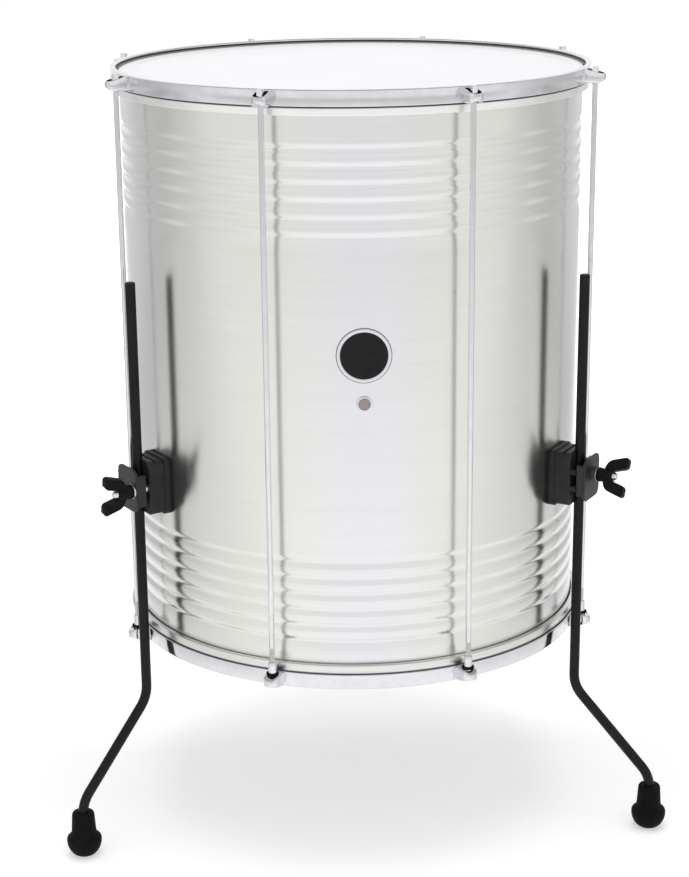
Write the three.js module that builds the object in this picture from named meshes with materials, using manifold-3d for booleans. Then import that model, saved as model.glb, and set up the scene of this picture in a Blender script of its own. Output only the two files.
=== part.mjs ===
import * as THREE from "three";
import { mergeVertices } from "three/addons/utils/BufferGeometryUtils.js";
import Module from "manifold-3d";

// Surdo: a deep drum with two heads, standing on three bent legs.
// Millimetres, +Z up, the floor at zero, the badge towards -Y. Every piece is
// built round the drum's own axis, then the whole is centred on its box.

// Fits between neighbouring pieces
const fitGap = 0.3;
const cutMargin = 20;
const joinOverlap = 0.6;

// Shell
const shellDiameter = 457;
const shellHeight = 559;
const shellWall = 1.2;
const shellBase = 204;
const shellLip = 5;
const roundCount = 48;

// Rolled grooves, in one band near each end of the shell
const grooveCount = 6;
const groovePitch = 16;
const grooveDepth = 1.5;
const grooveHalfWidth = 3;
const upperBandInset = 48.5;
const lowerBandInset = 39.5;

// Badge and vent on the front
const badgeDiameter = 52;
const badgeThickness = 0.9;
const badgeHeight = 526.4;
const badgeCorners = 32;
const ventHeight = 480.6;
const ventBore = 9;
const ventTubeWall = 1;
const ventFlangeDiameter = 15;
const ventFlangeThickness = 1.4;
const ventLipDiameter = 14;
const ventLipThickness = 1;
const ventCorners = 20;

// Heads and their flesh hoops
const filmThickness = 0.5;
const fleshInnerGap = 0.3;
const fleshWidth = 4.9;
const fleshHeight = 16.2;
const fleshChamfer = 1;

// Counter hoops
const hoopClearance = 0.4;
const hoopWall = 2;
const hoopHeight = 14.9;
const hoopRise = 5.5;
const hoopRimWidth = 5.9;
const hoopRimThickness = 2;
const hoopLipThickness = 1.8;
const hoopLipDepth = 7;
const hoopCorner = 1.4;

// Welded ears that carry the tension rods
const earCount = 8;
const earTurn = 1.1;
const earWidth = 15;
const earReach = 19.6;
const earRise = 0.5;
const earWall = 1.8;
const earFloor = 1.8;
const earRootHeight = 14.2;
const earTipHeight = 9.4;
const earTipRise = 3.7;
const earHullShare = 0.71;
const earArcCount = 6;
const earBack = 1.1;
const weldWidth = 22;
const weldFootWidth = 18;
const weldThickness = 1.2;
const rodReach = 9;

// Tension rods
const rodDiameter = 5.3;
const rodCorners = 12;
const rodFlangeDiameter = 9.2;
const rodFlangeThickness = 2.4;
const rodNeckDiameter = 8;
const rodNeckHeight = 4.5;
const rodSquare = 5.6;
const rodSquareRise = 1.2;
const rodEndInset = 1.5;

// Tube nuts and the rings on them
const nutTubeDiameter = 8.2;
const nutTubeTopDiameter = 6.8;
const nutTubeTaper = 2.5;
const nutTubeRise = 13.3;
const nutHeadDiameter = 9.4;
const nutHeadHeight = 5;
const nutCorners = 12;
const ringDiameter = 12;
const ringHeight = 2.6;

// Leg stations
const legAzimuths = [-59, 59, 180];
const clampHeight = 374.5;

// Rubber gasket, bracket and the plate inside the shell
const gasketWidth = 43;
const gasketHeight = 57;
const gasketThickness = 2.2;
const gasketCorner = 6;
const bracketBaseThickness = 3.6;
const bracketWidth = 41;
const bracketHeight = 54;
const bracketCorner = 5;
const bracketFace = 22.5;
const bracketBevel = 1.5;
const slotWidth = 34;
const slotThickness = 2.4;
const slotDepth = 3;
const slotFace = 13.1;
const backingWidth = 30;
const backingHeight = 50;
const backingThickness = 2.4;
const backingCorner = 4;
const studDiameter = 5.8;
const studOffset = 18;
const studReach = 14;
const studCorners = 12;
const pegDiameter = 5.8;
const pegLength = 5.7;
const pegOffset = 17.3;
const pegHalfSpacing = 8.5;
const cornerArcCount = 3;

// Clamp plate
const plateWidth = 38;
const plateHeight = 40;
const plateThickness = 2.3;
const plateFlange = 2.2;
const plateFace = 37.5;
const plateBend = 1.5;
const plateShift = 1.3;
const plateCorner = 6;
const boltFlangeDepth = 10.7;
const pegFlangeDepth = 9;
const saddleHalfWidth = 5;
const saddleNoseShare = 0.5;

// Clamp bolt, washer and wing nut
const boltDiameter = 7.8;
const boltOffset = 13;
const boltReach = 59;
const boltHeadWidth = 13;
const boltHeadHeight = 5.3;
const boltCorners = 12;
const plateHoleClearance = 0.6;
const washerDiameter = 14.8;
const washerThickness = 1.5;
const hubDiameter = 14.6;
const hubTipDiameter = 12.6;
const hubLength = 16;
const wingThickness = 6.5;
const wingRootOffset = 6;
const wingRootDepth = 10;
const wingSpan = 37;
const wingShoulder = 26;
const wingSlot = 13;
const wingTipSlot = 20;
const wingOuterReach = 30;
const wingInnerReach = 13;
const wingCorner = 2;
const nutTurns = [10, 27, 18];

// Bent leg rods
const legDiameter = 10;
const legCorners = 12;
const legAxisReach = 24.9;
const legTop = 577.5;
const upperBendHeight = 150;
const lowerBendHeight = 55.5;
const legOffset = 80;
const bendTangent = 12;
const bendSteps = 3;
const legTurns = [4, 16, 0];

// Rubber feet
const footHeight = 46;
const footCollarTopDiameter = 22;
const footCollarDiameter = 25;
const footCollarBase = 24;
const footFlangeDiameter = 35;
const footFlangeTop = 20;
const footFlangeBottom = 14;
const footWaistDiameter = 27;
const footWaistHeight = 11;
const footDomeDiameter = 23;
const footDomeHeight = 4.5;
const footFaceDiameter = 16;
const footSocketFloor = 12;
const footCorners = 20;

// Sizes worked out from the ones above
const shellRadius = shellDiameter / 2;
const shellInner = shellRadius - shellWall;
const shellTop = shellBase + shellHeight;
const shellMiddle = shellBase + shellHeight / 2;
const facetSlope = Math.tan(Math.PI / roundCount);
const skirtInner = shellRadius + fitGap;
const skirtOuter = skirtInner + filmThickness;
const fleshInner = skirtOuter + fleshInnerGap;
const fleshOuter = fleshInner + fleshWidth;
const hoopInner = fleshOuter + hoopClearance;
const hoopOuter = hoopInner + hoopWall;
const hoopRimInner = hoopOuter - hoopRimWidth;
const hoopTop = shellTop + hoopRise;
const hoopEdge = hoopTop - hoopHeight;
const fleshTop = hoopTop - hoopLipDepth - fitGap;
const filmTop = shellTop + fitGap + filmThickness;
const rodCircle = hoopOuter + rodReach;
const earTip = hoopOuter + earReach;
const earHole = nutTubeDiameter / 2 + fitGap;
const legCircle = shellRadius + legAxisReach;
const gasketInner = shellRadius + fitGap;
const gasketOuter = gasketInner + gasketThickness;
const bracketInner = gasketOuter + fitGap;
const bracketOuter = shellRadius + bracketFace;
const plateOuter = shellRadius + plateFace;
const plateInner = plateOuter - plateThickness;
const boltTip = shellRadius + boltReach;
const boltHeadBack = bracketInner + fitGap;
const washerInner = plateOuter + fitGap;
const hubInner = washerInner + washerThickness + fitGap;

// Colours, with how rough and how metallic each surface is
const finishes = {
  shell: [0xd8d6d0, 0.34, 0.9],
  chrome: [0xd6d8db, 0.14, 1],
  film: [0xf4f4f1, 0.45, 0],
  band: [0xd2d3d2, 0.4, 0.9],
  badge: [0xc9cbcd, 0.3, 0.9],
  rubber: [0x1c1c1e, 0.8, 0],
  black: [0x2b2b2e, 0.45, 0.3],
  steel: [0x9da0a3, 0.4, 0.9],
};

const wasm = await Module();
wasm.setup();

const part = new THREE.Group();
part.name = "surdo";

// A three.js shape as a solid, without slivers where a profile meets its axis
function solidOf(geometry) {
  geometry.deleteAttribute("normal");
  geometry.deleteAttribute("uv");
  const merged = mergeVertices(geometry);
  const corners = merged.index.array;
  const faces = [];
  for (let first = 0; first < corners.length; first += 3) {
    const [one, two, three] = corners.slice(first, first + 3);
    if (one !== two && two !== three && three !== one) {
      faces.push(one, two, three);
    }
  }
  const mesh = new wasm.Mesh({
    numProp: 3,
    vertProperties: new Float32Array(merged.attributes.position.array),
    triVerts: new Uint32Array(faces),
  });
  return new wasm.Manifold(mesh);
}

function addPiece(name, solid, finish) {
  const { vertProperties, triVerts } = solid.getMesh();
  const geometry = new THREE.BufferGeometry();
  geometry.setAttribute("position", new THREE.BufferAttribute(new Float32Array(vertProperties), 3));
  geometry.setIndex(new THREE.BufferAttribute(new Uint32Array(triVerts), 1));
  const [color, roughness, metalness] = finishes[finish];
  const material = new THREE.MeshStandardMaterial({ color, roughness, metalness });
  const piece = new THREE.Mesh(geometry, material);
  piece.name = name;
  part.add(piece);
}

// A profile of radius and height, turned about the vertical axis
function turned(profile, corners) {
  const points = profile.map(([radius, height]) => new THREE.Vector2(radius, height));
  const geometry = new THREE.LatheGeometry(points, corners);
  geometry.rotateX(Math.PI / 2);
  return solidOf(geometry);
}

// The same for a profile that goes round its own hole
function turnedRing(profile, corners) {
  return turned([...profile, profile[0]], corners);
}

function upright(radius, bottom, top, corners) {
  return turned([[0, bottom], [radius, bottom], [radius, top], [0, top]], corners);
}

// Turns a solid's vertical axis outward, towards the front
function facingFront(solid) {
  return solid.rotate([90, 0, 0]);
}

function outwardRod(radius, inner, outer, across, height, corners) {
  return facingFront(upright(radius, inner, outer, corners)).translate([across, 0, height]);
}

function shapeOf(points) {
  return new THREE.Shape(points.map(([across, along]) => new THREE.Vector2(across, along)));
}

function roundedShape(width, height, corner) {
  const right = width / 2 - corner;
  const top = height / 2 - corner;
  const shape = new THREE.Shape();
  shape.absarc(right, top, corner, 0, Math.PI / 2);
  shape.absarc(-right, top, corner, Math.PI / 2, Math.PI);
  shape.absarc(-right, -top, corner, Math.PI, Math.PI * 1.5);
  shape.absarc(right, -top, corner, Math.PI * 1.5, Math.PI * 2);
  return shape;
}

function circleShape(radius, corners) {
  const points = [];
  for (let step = 0; step < corners; step += 1) {
    const angle = (2 * Math.PI * step) / corners;
    points.push([radius * Math.cos(angle), radius * Math.sin(angle)]);
  }
  return shapeOf(points);
}

// A shape seen from the front, drawn outward between two distances
function outwardPrism(shape, inner, outer, height) {
  const geometry = new THREE.ExtrudeGeometry(shape, {
    depth: outer - inner,
    bevelEnabled: false,
    curveSegments: cornerArcCount,
  });
  geometry.rotateX(Math.PI / 2);
  geometry.translate(0, -inner, height);
  return solidOf(geometry);
}

// A shape of across and outward distances, drawn upward
function uprightPrism(points, bottom, top) {
  const flipped = points.map(([across, outward]) => [across, -outward]);
  const geometry = new THREE.ExtrudeGeometry(shapeOf(flipped), {
    depth: top - bottom,
    bevelEnabled: false,
  });
  geometry.translate(0, 0, bottom);
  return solidOf(geometry);
}

// A side view of outward distances and heights, drawn across
function sidePrism(points, width) {
  const geometry = new THREE.ExtrudeGeometry(shapeOf(points), {
    depth: width,
    bevelEnabled: false,
  });
  const frontward = new THREE.Vector3(0, -1, 0);
  const upward = new THREE.Vector3(0, 0, 1);
  const leftward = new THREE.Vector3(-1, 0, 0);
  geometry.applyMatrix4(new THREE.Matrix4().makeBasis(frontward, upward, leftward));
  geometry.translate(width / 2, 0, 0);
  return solidOf(geometry);
}

// The drum seen as a ring between two radii, with the shell's own facets
function drumRing(inner, outer, bottom, top) {
  return turnedRing([[inner, bottom], [outer, bottom], [outer, top], [inner, top]], roundCount);
}

// The matching piece at the other end of the drum
function atOtherEnd(solid) {
  return solid.mirror([0, 0, 1]).translate([0, 0, 2 * shellMiddle]);
}

function aroundDrum(solid, azimuth) {
  return solid.rotate([0, 0, azimuth]);
}

function earAzimuth(index) {
  return ((index + 0.5) * 360) / earCount + earTurn;
}

// Shell, with its two bands of rolled grooves and turned-in edges
function grooveHeights() {
  const heights = [];
  for (let index = 0; index < grooveCount; index += 1) {
    heights.push(shellBase + lowerBandInset + index * groovePitch);
  }
  for (let index = grooveCount - 1; index >= 0; index -= 1) {
    heights.push(shellTop - upperBandInset - index * groovePitch);
  }
  return heights;
}

// The wall seen from inside, where each groove stands out as a ridge
function insideWall(radius) {
  const points = [];
  for (const height of grooveHeights()) {
    points.push([radius, height - groovePitch / 2]);
    points.push([radius - grooveDepth, height]);
  }
  const bandEnds = [grooveHeights()[grooveCount - 1], grooveHeights().at(-1)];
  const ends = bandEnds.map((height) => [radius, height + groovePitch / 2]);
  points.splice(2 * grooveCount, 0, ends[0]);
  points.push(ends[1]);
  return points;
}

function shellProfile() {
  const outside = [];
  for (const height of grooveHeights()) {
    outside.push([shellRadius, height - grooveHalfWidth]);
    outside.push([shellRadius - grooveDepth, height]);
    outside.push([shellRadius, height + grooveHalfWidth]);
  }
  const lipInner = shellRadius - shellLip;
  return [
    [lipInner, shellBase],
    [shellRadius, shellBase],
    ...outside,
    [shellRadius, shellTop],
    [lipInner, shellTop],
    [lipInner, shellTop - shellWall],
    [shellInner, shellTop - shellWall],
    ...insideWall(shellInner).reverse(),
    [shellInner, shellBase + shellWall],
    [lipInner, shellBase + shellWall],
  ];
}

function buildShell() {
  const ventHole = ventBore / 2 + ventTubeWall + fitGap;
  const studHole = studDiameter / 2 + fitGap;
  const inner = shellInner - cutMargin;
  const outer = shellRadius + cutMargin;
  let shell = turnedRing(shellProfile(), roundCount);
  shell = shell.subtract(outwardRod(ventHole, inner, outer, 0, ventHeight, ventCorners));
  for (const azimuth of legAzimuths) {
    shell = shell.subtract(aroundDrum(studs(studHole, inner, outer), azimuth));
  }
  return shell;
}

// Vent eyelet, flanged outside and rolled over inside
function buildVent() {
  const bore = ventBore / 2;
  const tube = bore + ventTubeWall;
  const flange = ventFlangeDiameter / 2;
  const lip = ventLipDiameter / 2;
  const back = shellRadius + fitGap;
  const lipFace = shellInner - lip * facetSlope - fitGap;
  const profile = [
    [bore, lipFace - ventLipThickness],
    [lip, lipFace - ventLipThickness],
    [lip, lipFace],
    [tube, lipFace],
    [tube, back],
    [flange, back],
    [flange, back + ventFlangeThickness / 2],
    [tube, back + ventFlangeThickness],
    [bore, back + ventFlangeThickness],
  ];
  return facingFront(turnedRing(profile, ventCorners)).translate([0, 0, ventHeight]);
}

function buildBadge() {
  const inner = shellRadius + fitGap;
  const shape = circleShape(badgeDiameter / 2, badgeCorners);
  const disc = outwardPrism(shape, inner - cutMargin, inner + cutMargin, badgeHeight);
  const bottom = badgeHeight - badgeDiameter;
  return disc.intersect(drumRing(inner, inner + badgeThickness, bottom, badgeHeight + badgeDiameter));
}

// Head film, drawn down over the shell's edge into the flesh hoop
function buildFilm() {
  const skirtBottom = fleshTop - fleshHeight / 2;
  const profile = [
    [0, filmTop - filmThickness],
    [skirtInner, filmTop - filmThickness],
    [skirtInner, skirtBottom],
    [skirtOuter, skirtBottom],
    [skirtOuter, filmTop],
    [0, filmTop],
  ];
  return turned(profile, roundCount);
}

function buildFleshHoop() {
  const bottom = fleshTop - fleshHeight;
  const profile = [
    [fleshInner, bottom],
    [fleshOuter - fleshChamfer, bottom],
    [fleshOuter, bottom + fleshChamfer],
    [fleshOuter, fleshTop],
    [fleshInner, fleshTop],
  ];
  return turnedRing(profile, roundCount);
}

// One ear: a boat-shaped cup with a floor for the rod and weld flanges.
// Its outline is half a circle at the tip and straight back to the hoop.
function earOutline(halfWidth, root, tip) {
  const centre = tip - halfWidth;
  const points = [[halfWidth, root]];
  for (let step = 0; step <= earArcCount; step += 1) {
    const angle = (Math.PI * step) / earArcCount;
    points.push([halfWidth * Math.cos(angle), centre + halfWidth * Math.sin(angle)]);
  }
  points.push([-halfWidth, root]);
  return points;
}

// The cup's side view, with the whole of it drawn in by one wall thickness
function earSide(root, tip, floor, tipRise) {
  const bend = hoopOuter + earReach * earHullShare;
  const rimSlope = (earRootHeight - earTipHeight) / earReach;
  const rimAt = (outward) => hoopEdge + earRootHeight - (outward - hoopOuter) * rimSlope;
  return [
    [root, floor],
    [bend, floor],
    [tip, floor + tipRise],
    [tip, rimAt(tip)],
    [root, rimAt(root)],
  ];
}

function buildEar() {
  const root = hoopOuter - joinOverlap;
  const floor = hoopEdge + earRise;
  const side = earSide(root, earTip, floor, earTipRise);
  const outline = earOutline(earWidth / 2, root, earTip);
  const block = uprightPrism(outline, floor, hoopTop);
  const hull = block.intersect(sidePrism(side, earWidth + earWall));
  const weld = outwardPrism(
    shapeOf([
      [-weldFootWidth / 2, floor],
      [weldFootWidth / 2, floor],
      [weldWidth / 2, hoopEdge + earRootHeight],
      [-weldWidth / 2, hoopEdge + earRootHeight],
    ]),
    root,
    hoopOuter + weldThickness,
    0,
  );
  return hull.add(weld);
}

function buildEarHollow() {
  const root = hoopOuter + earBack;
  const tip = earTip - earWall;
  const outline = earOutline(earWidth / 2 - earWall, root, tip);
  const floor = hoopEdge + earRise + earFloor;
  const hollow = uprightPrism(outline, floor, hoopTop);
  const side = [
    [root, floor],
    [hoopOuter + earReach * earHullShare, floor],
    [tip, floor + earTipRise],
    [tip, hoopTop],
    [root, hoopTop],
  ];
  const hole = upright(earHole, hoopEdge - cutMargin, hoopTop, rodCorners);
  return hollow.intersect(sidePrism(side, earWidth)).add(hole.translate([0, -rodCircle, 0]));
}

// Counter hoop: wall, turned-in rim and lip, and eight welded ears
function buildHoop() {
  const profile = [
    [hoopInner, hoopEdge],
    [hoopOuter, hoopEdge],
    [hoopOuter, hoopTop - hoopCorner],
    [hoopOuter - hoopCorner, hoopTop],
    [hoopRimInner + hoopCorner, hoopTop],
    [hoopRimInner, hoopTop - hoopCorner],
    [hoopRimInner, hoopTop - hoopLipDepth],
    [hoopRimInner + hoopLipThickness, hoopTop - hoopLipDepth],
    [hoopRimInner + hoopLipThickness, hoopTop - hoopRimThickness],
    [hoopInner, hoopTop - hoopRimThickness],
  ];
  const ear = buildEar();
  const hollow = buildEarHollow();
  let hoop = turnedRing(profile, roundCount);
  for (let index = 0; index < earCount; index += 1) {
    hoop = hoop.add(aroundDrum(ear, earAzimuth(index)));
  }
  for (let index = 0; index < earCount; index += 1) {
    hoop = hoop.subtract(aroundDrum(hollow, earAzimuth(index)));
  }
  return hoop;
}

// Tension rod: shank, flange on the ear's floor, neck and square key end
function buildTensionRod(lowest) {
  const shank = rodDiameter / 2;
  const seat = hoopEdge + earRise + earFloor + fitGap;
  const neckBase = seat + rodFlangeThickness;
  const neckTop = seat + rodNeckHeight;
  const squareTop = hoopTop + rodSquareRise;
  const squareBase = neckTop - joinOverlap;
  const body = turned(
    [
      [0, lowest],
      [shank, lowest],
      [shank, seat],
      [rodFlangeDiameter / 2, seat],
      [rodFlangeDiameter / 2, neckBase],
      [rodNeckDiameter / 2, neckBase],
      [rodNeckDiameter / 2, neckTop],
      [0, neckTop],
    ],
    rodCorners,
  );
  const key = new THREE.BoxGeometry(rodSquare, rodSquare, squareTop - squareBase);
  key.translate(0, 0, (squareTop + squareBase) / 2);
  return body.add(solidOf(key)).translate([0, -rodCircle, 0]);
}

// Tube nut: its head hangs in the lower ear's cup, its tube stands above it
function nutLevels() {
  const floorTop = 2 * shellMiddle - hoopEdge - earRise;
  const headTop = floorTop - earFloor - fitGap;
  return { floorTop, headTop, headBottom: headTop - nutHeadHeight };
}

function buildTubeNut() {
  const { floorTop, headTop, headBottom } = nutLevels();
  const bore = rodDiameter / 2 + fitGap;
  const tubeTop = floorTop + nutTubeRise;
  const profile = [
    [bore, headBottom],
    [nutHeadDiameter / 2, headBottom],
    [nutHeadDiameter / 2, headTop],
    [nutTubeDiameter / 2, headTop],
    [nutTubeDiameter / 2, tubeTop - nutTubeTaper],
    [nutTubeTopDiameter / 2, tubeTop],
    [bore, tubeTop],
  ];
  return turnedRing(profile, nutCorners).translate([0, -rodCircle, 0]);
}

function buildNutRing() {
  const bottom = nutLevels().floorTop + fitGap;
  const inner = nutTubeDiameter / 2 + fitGap;
  const outer = ringDiameter / 2;
  const top = bottom + ringHeight;
  const profile = [[inner, bottom], [outer, bottom], [outer, top], [inner, top]];
  return turnedRing(profile, nutCorners).translate([0, -rodCircle, 0]);
}

// Leg station: gasket, bracket, backing plate and the lever clamp. The first
// three are cut to the drum's own curve where they stand.
function studs(radius, inner, outer) {
  const lower = outwardRod(radius, inner, outer, 0, clampHeight - studOffset, studCorners);
  return lower.add(lower.translate([0, 0, 2 * studOffset]));
}

function buildGasket(azimuth) {
  const shape = roundedShape(gasketWidth, gasketHeight, gasketCorner);
  const sheet = outwardPrism(shape, gasketInner - cutMargin, gasketOuter + cutMargin, clampHeight);
  const bottom = clampHeight - gasketHeight;
  const ring = drumRing(gasketInner, gasketOuter, bottom, clampHeight + gasketHeight);
  const holes = studs(studDiameter / 2 + fitGap, gasketInner - cutMargin, gasketOuter + cutMargin);
  return aroundDrum(sheet.subtract(holes), azimuth).intersect(ring);
}

function buildBracket(azimuth) {
  const back = bracketInner - cutMargin / 2;
  const baseFace = bracketInner + bracketBaseThickness;
  const base = roundedShape(gasketWidth, gasketHeight, gasketCorner);
  const bodyDepth = bracketOuter - back - 2 * bracketBevel;
  const body = new THREE.ExtrudeGeometry(
    roundedShape(bracketWidth - 2 * bracketBevel, bracketHeight - 2 * bracketBevel, bracketCorner),
    {
      depth: bodyDepth,
      bevelThickness: bracketBevel,
      bevelSize: bracketBevel,
      bevelSegments: 1,
      curveSegments: cornerArcCount,
    },
  );
  body.rotateX(Math.PI / 2);
  body.translate(0, -back - bracketBevel, clampHeight);
  let bracket = outwardPrism(base, back, baseFace, clampHeight).add(solidOf(body));
  const pegBase = bracketOuter - joinOverlap;
  const pegTip = bracketOuter + pegLength;
  for (const offset of [-pegHalfSpacing, pegHalfSpacing]) {
    const height = clampHeight + offset;
    const peg = outwardRod(pegDiameter / 2, pegBase, pegTip, -pegOffset, height, studCorners);
    bracket = bracket.add(peg);
  }
  const below = clampHeight - gasketHeight;
  const above = clampHeight + gasketHeight;
  const groove = upright(legDiameter / 2 + fitGap, below, above, legCorners);
  const slotShape = roundedShape(slotWidth, 2 * slotDepth, slotDepth / 2);
  const slotInner = shellRadius + slotFace;
  const slot = outwardPrism(slotShape, slotInner, slotInner + slotThickness, clampHeight);
  const boltHole = boltDiameter / 2 + fitGap;
  const pocketCorner = boltHeadWidth / Math.sqrt(3) + fitGap;
  const pocketTop = boltHeadBack + boltHeadHeight + fitGap;
  const cuts = [
    slot.translate([0, 0, bracketHeight / 2]),
    slot.translate([0, 0, -bracketHeight / 2]),
    groove.translate([0, -legCircle, 0]),
    outwardRod(boltHole, back, bracketOuter + cutMargin, boltOffset, clampHeight, boltCorners),
    outwardRod(pocketCorner, back, pocketTop, boltOffset, clampHeight, 6),
    studs(studDiameter / 2 + fitGap, back, shellRadius + studReach + fitGap),
  ];
  const cutBracket = cuts.reduce((solid, cut) => solid.subtract(cut), bracket);
  return aroundDrum(cutBracket, azimuth).subtract(upright(bracketInner, below, above, roundCount));
}

function buildBackingPlate(azimuth) {
  const outer = shellInner - fitGap;
  const inner = outer - backingThickness;
  const shape = roundedShape(backingWidth, backingHeight, backingCorner);
  const plate = outwardPrism(shape, inner, outer + cutMargin, clampHeight);
  const wall = [[outer, shellBase], ...insideWall(outer), [outer, shellTop]];
  const room = turned([[0, shellBase], ...wall, [0, shellTop]], roundCount);
  const pins = studs(studDiameter / 2, inner + backingThickness / 2, shellRadius + studReach);
  return aroundDrum(plate, azimuth).intersect(room).add(aroundDrum(pins, azimuth));
}

function buildClampPlate() {
  const half = plateWidth / 2;
  const inside = half - plateFlange;
  const nose = legCircle + legDiameter / 2 + fitGap;
  const noseHalf = saddleHalfWidth * saddleNoseShare;
  const outline = [
    [half - plateBend, plateOuter],
    [half, plateOuter - plateBend],
    [half, plateOuter - boltFlangeDepth],
    [inside, plateOuter - boltFlangeDepth],
    [inside, plateInner],
    [saddleHalfWidth - plateShift, plateInner],
    [noseHalf - plateShift, nose],
    [-noseHalf - plateShift, nose],
    [-saddleHalfWidth - plateShift, plateInner],
    [-inside, plateInner],
    [-inside, plateOuter - pegFlangeDepth],
    [-half, plateOuter - pegFlangeDepth],
    [-half, plateOuter - plateBend],
    [-half + plateBend, plateOuter],
  ];
  const bottom = clampHeight - plateHeight / 2;
  const channel = uprightPrism(outline, bottom, clampHeight + plateHeight / 2);
  const face = roundedShape(plateWidth, plateHeight, plateCorner);
  const rounding = outwardPrism(face, bracketOuter, plateOuter + cutMargin, clampHeight);
  const holeRadius = boltDiameter / 2 + plateHoleClearance;
  const outer = plateOuter + cutMargin;
  const hole = outwardRod(holeRadius, bracketOuter, outer, boltOffset, clampHeight, boltCorners);
  return channel.intersect(rounding).translate([plateShift, 0, 0]).subtract(hole);
}

function buildClampBolt() {
  const headTop = boltHeadBack + boltHeadHeight;
  const headCorner = boltHeadWidth / Math.sqrt(3);
  const head = outwardRod(headCorner, boltHeadBack, headTop, boltOffset, clampHeight, 6);
  const shankBase = headTop - joinOverlap;
  const shankRadius = boltDiameter / 2;
  return head.add(outwardRod(shankRadius, shankBase, boltTip, boltOffset, clampHeight, boltCorners));
}

function buildWasher() {
  const inner = boltDiameter / 2 + fitGap;
  const outer = washerDiameter / 2;
  const top = washerInner + washerThickness;
  const profile = [[inner, washerInner], [outer, washerInner], [outer, top], [inner, top]];
  return facingFront(turnedRing(profile, boltCorners)).translate([boltOffset, 0, clampHeight]);
}

// Wing nut: a bored hub, and two wings that rise past its outer end
function buildWingNut(turn) {
  const bore = boltDiameter / 2 + fitGap;
  const hubOuter = hubInner + hubLength;
  const hub = turned(
    [[0, hubInner], [hubDiameter / 2, hubInner], [hubTipDiameter / 2, hubOuter], [0, hubOuter]],
    boltCorners,
  );
  const rootBase = hubInner + wingRootOffset;
  const span = wingSpan / 2;
  const shoulder = wingShoulder / 2;
  const slot = wingSlot / 2;
  const tipSlot = wingTipSlot / 2;
  const innerReach = hubInner + wingInnerReach;
  const outerReach = hubInner + wingOuterReach;
  const oneSide = [
    [hubTipDiameter / 2, rootBase],
    [shoulder - wingCorner, innerReach - wingCorner],
    [shoulder, innerReach],
    [span, outerReach - wingCorner],
    [span - wingCorner, outerReach],
    [tipSlot + wingCorner, outerReach],
    [tipSlot, outerReach - wingCorner],
    [slot, hubOuter + wingCorner],
    [slot - wingCorner, rootBase + wingRootDepth],
  ];
  const otherSide = oneSide.map(([across, outward]) => [-across, outward]).reverse();
  const wings = uprightPrism([...oneSide, ...otherSide], -wingThickness / 2, wingThickness / 2);
  const hole = upright(bore, hubInner - cutMargin, outerReach + cutMargin, boltCorners);
  const nut = facingFront(hub).add(wings).subtract(facingFront(hole));
  return nut.rotate([0, 90 + turn, 0]).translate([boltOffset, 0, clampHeight]);
}

// A path through given points, each one a place where the leg is sampled
class LegPath extends THREE.Curve {
  constructor(points) {
    super();
    this.points = points;
  }

  getPointAt(share) {
    return this.points[Math.round(share * (this.points.length - 1))].clone();
  }

  getTangentAt(share) {
    const last = this.points.length - 1;
    const place = Math.round(share * last);
    const before = this.points[Math.max(place - 1, 0)];
    const after = this.points[Math.min(place + 1, last)];
    const here = this.points[place];
    const arriving = here.clone().sub(before).normalize();
    const leaving = after.clone().sub(here).normalize();
    return arriving.add(leaving).normalize();
  }
}

function bendPoints(before, corner, after) {
  const start = before.clone().sub(corner).setLength(bendTangent).add(corner);
  const end = after.clone().sub(corner).setLength(bendTangent).add(corner);
  return new THREE.QuadraticBezierCurve3(start, corner, end).getPoints(bendSteps);
}

function atLeg(solid, index) {
  const turnedLeg = solid.rotate([0, 0, legTurns[index]]).translate([0, -legCircle, 0]);
  return aroundDrum(turnedLeg, legAzimuths[index]);
}

function buildLeg() {
  const top = new THREE.Vector3(0, 0, legTop);
  const upper = new THREE.Vector3(0, 0, upperBendHeight);
  const lower = new THREE.Vector3(0, -legOffset, lowerBendHeight);
  const end = new THREE.Vector3(0, -legOffset, footSocketFloor + fitGap);
  const points = [top, ...bendPoints(top, upper, lower), ...bendPoints(upper, lower, end), end];
  const geometry = new THREE.ExtrudeGeometry(circleShape(legDiameter / 2, legCorners), {
    steps: points.length - 1,
    extrudePath: new LegPath(points),
  });
  return solidOf(geometry);
}

function buildFoot() {
  const socket = legDiameter / 2 + fitGap;
  const profile = [
    [0, 0],
    [footFaceDiameter / 2, 0],
    [footDomeDiameter / 2, footDomeHeight],
    [footWaistDiameter / 2, footWaistHeight],
    [footFlangeDiameter / 2, footFlangeBottom],
    [footFlangeDiameter / 2, footFlangeTop],
    [footCollarDiameter / 2, footCollarBase],
    [footCollarTopDiameter / 2, footHeight],
    [socket, footHeight],
    [socket, footSocketFloor],
    [0, footSocketFloor],
  ];
  return turned(profile, footCorners).translate([0, -legOffset, 0]);
}

addPiece("shell", buildShell(), "shell");
addPiece("vent_eyelet", buildVent(), "chrome");
addPiece("badge", buildBadge(), "badge");

const film = buildFilm();
addPiece("top_head_film", film, "film");
addPiece("bottom_head_film", atOtherEnd(film), "film");

const fleshHoop = buildFleshHoop();
addPiece("top_flesh_hoop", fleshHoop, "band");
addPiece("bottom_flesh_hoop", atOtherEnd(fleshHoop), "band");

const hoop = buildHoop();
addPiece("top_hoop", hoop, "chrome");
addPiece("bottom_hoop", atOtherEnd(hoop), "chrome");

const tensionRod = buildTensionRod(nutLevels().headBottom + rodEndInset);
const tubeNut = buildTubeNut();
const nutRing = buildNutRing();
for (let index = 0; index < earCount; index += 1) {
  const azimuth = earAzimuth(index);
  addPiece(`tension_rod_${index + 1}`, aroundDrum(tensionRod, azimuth), "chrome");
  addPiece(`tube_nut_${index + 1}`, aroundDrum(tubeNut, azimuth), "chrome");
  addPiece(`nut_ring_${index + 1}`, aroundDrum(nutRing, azimuth), "rubber");
}

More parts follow.
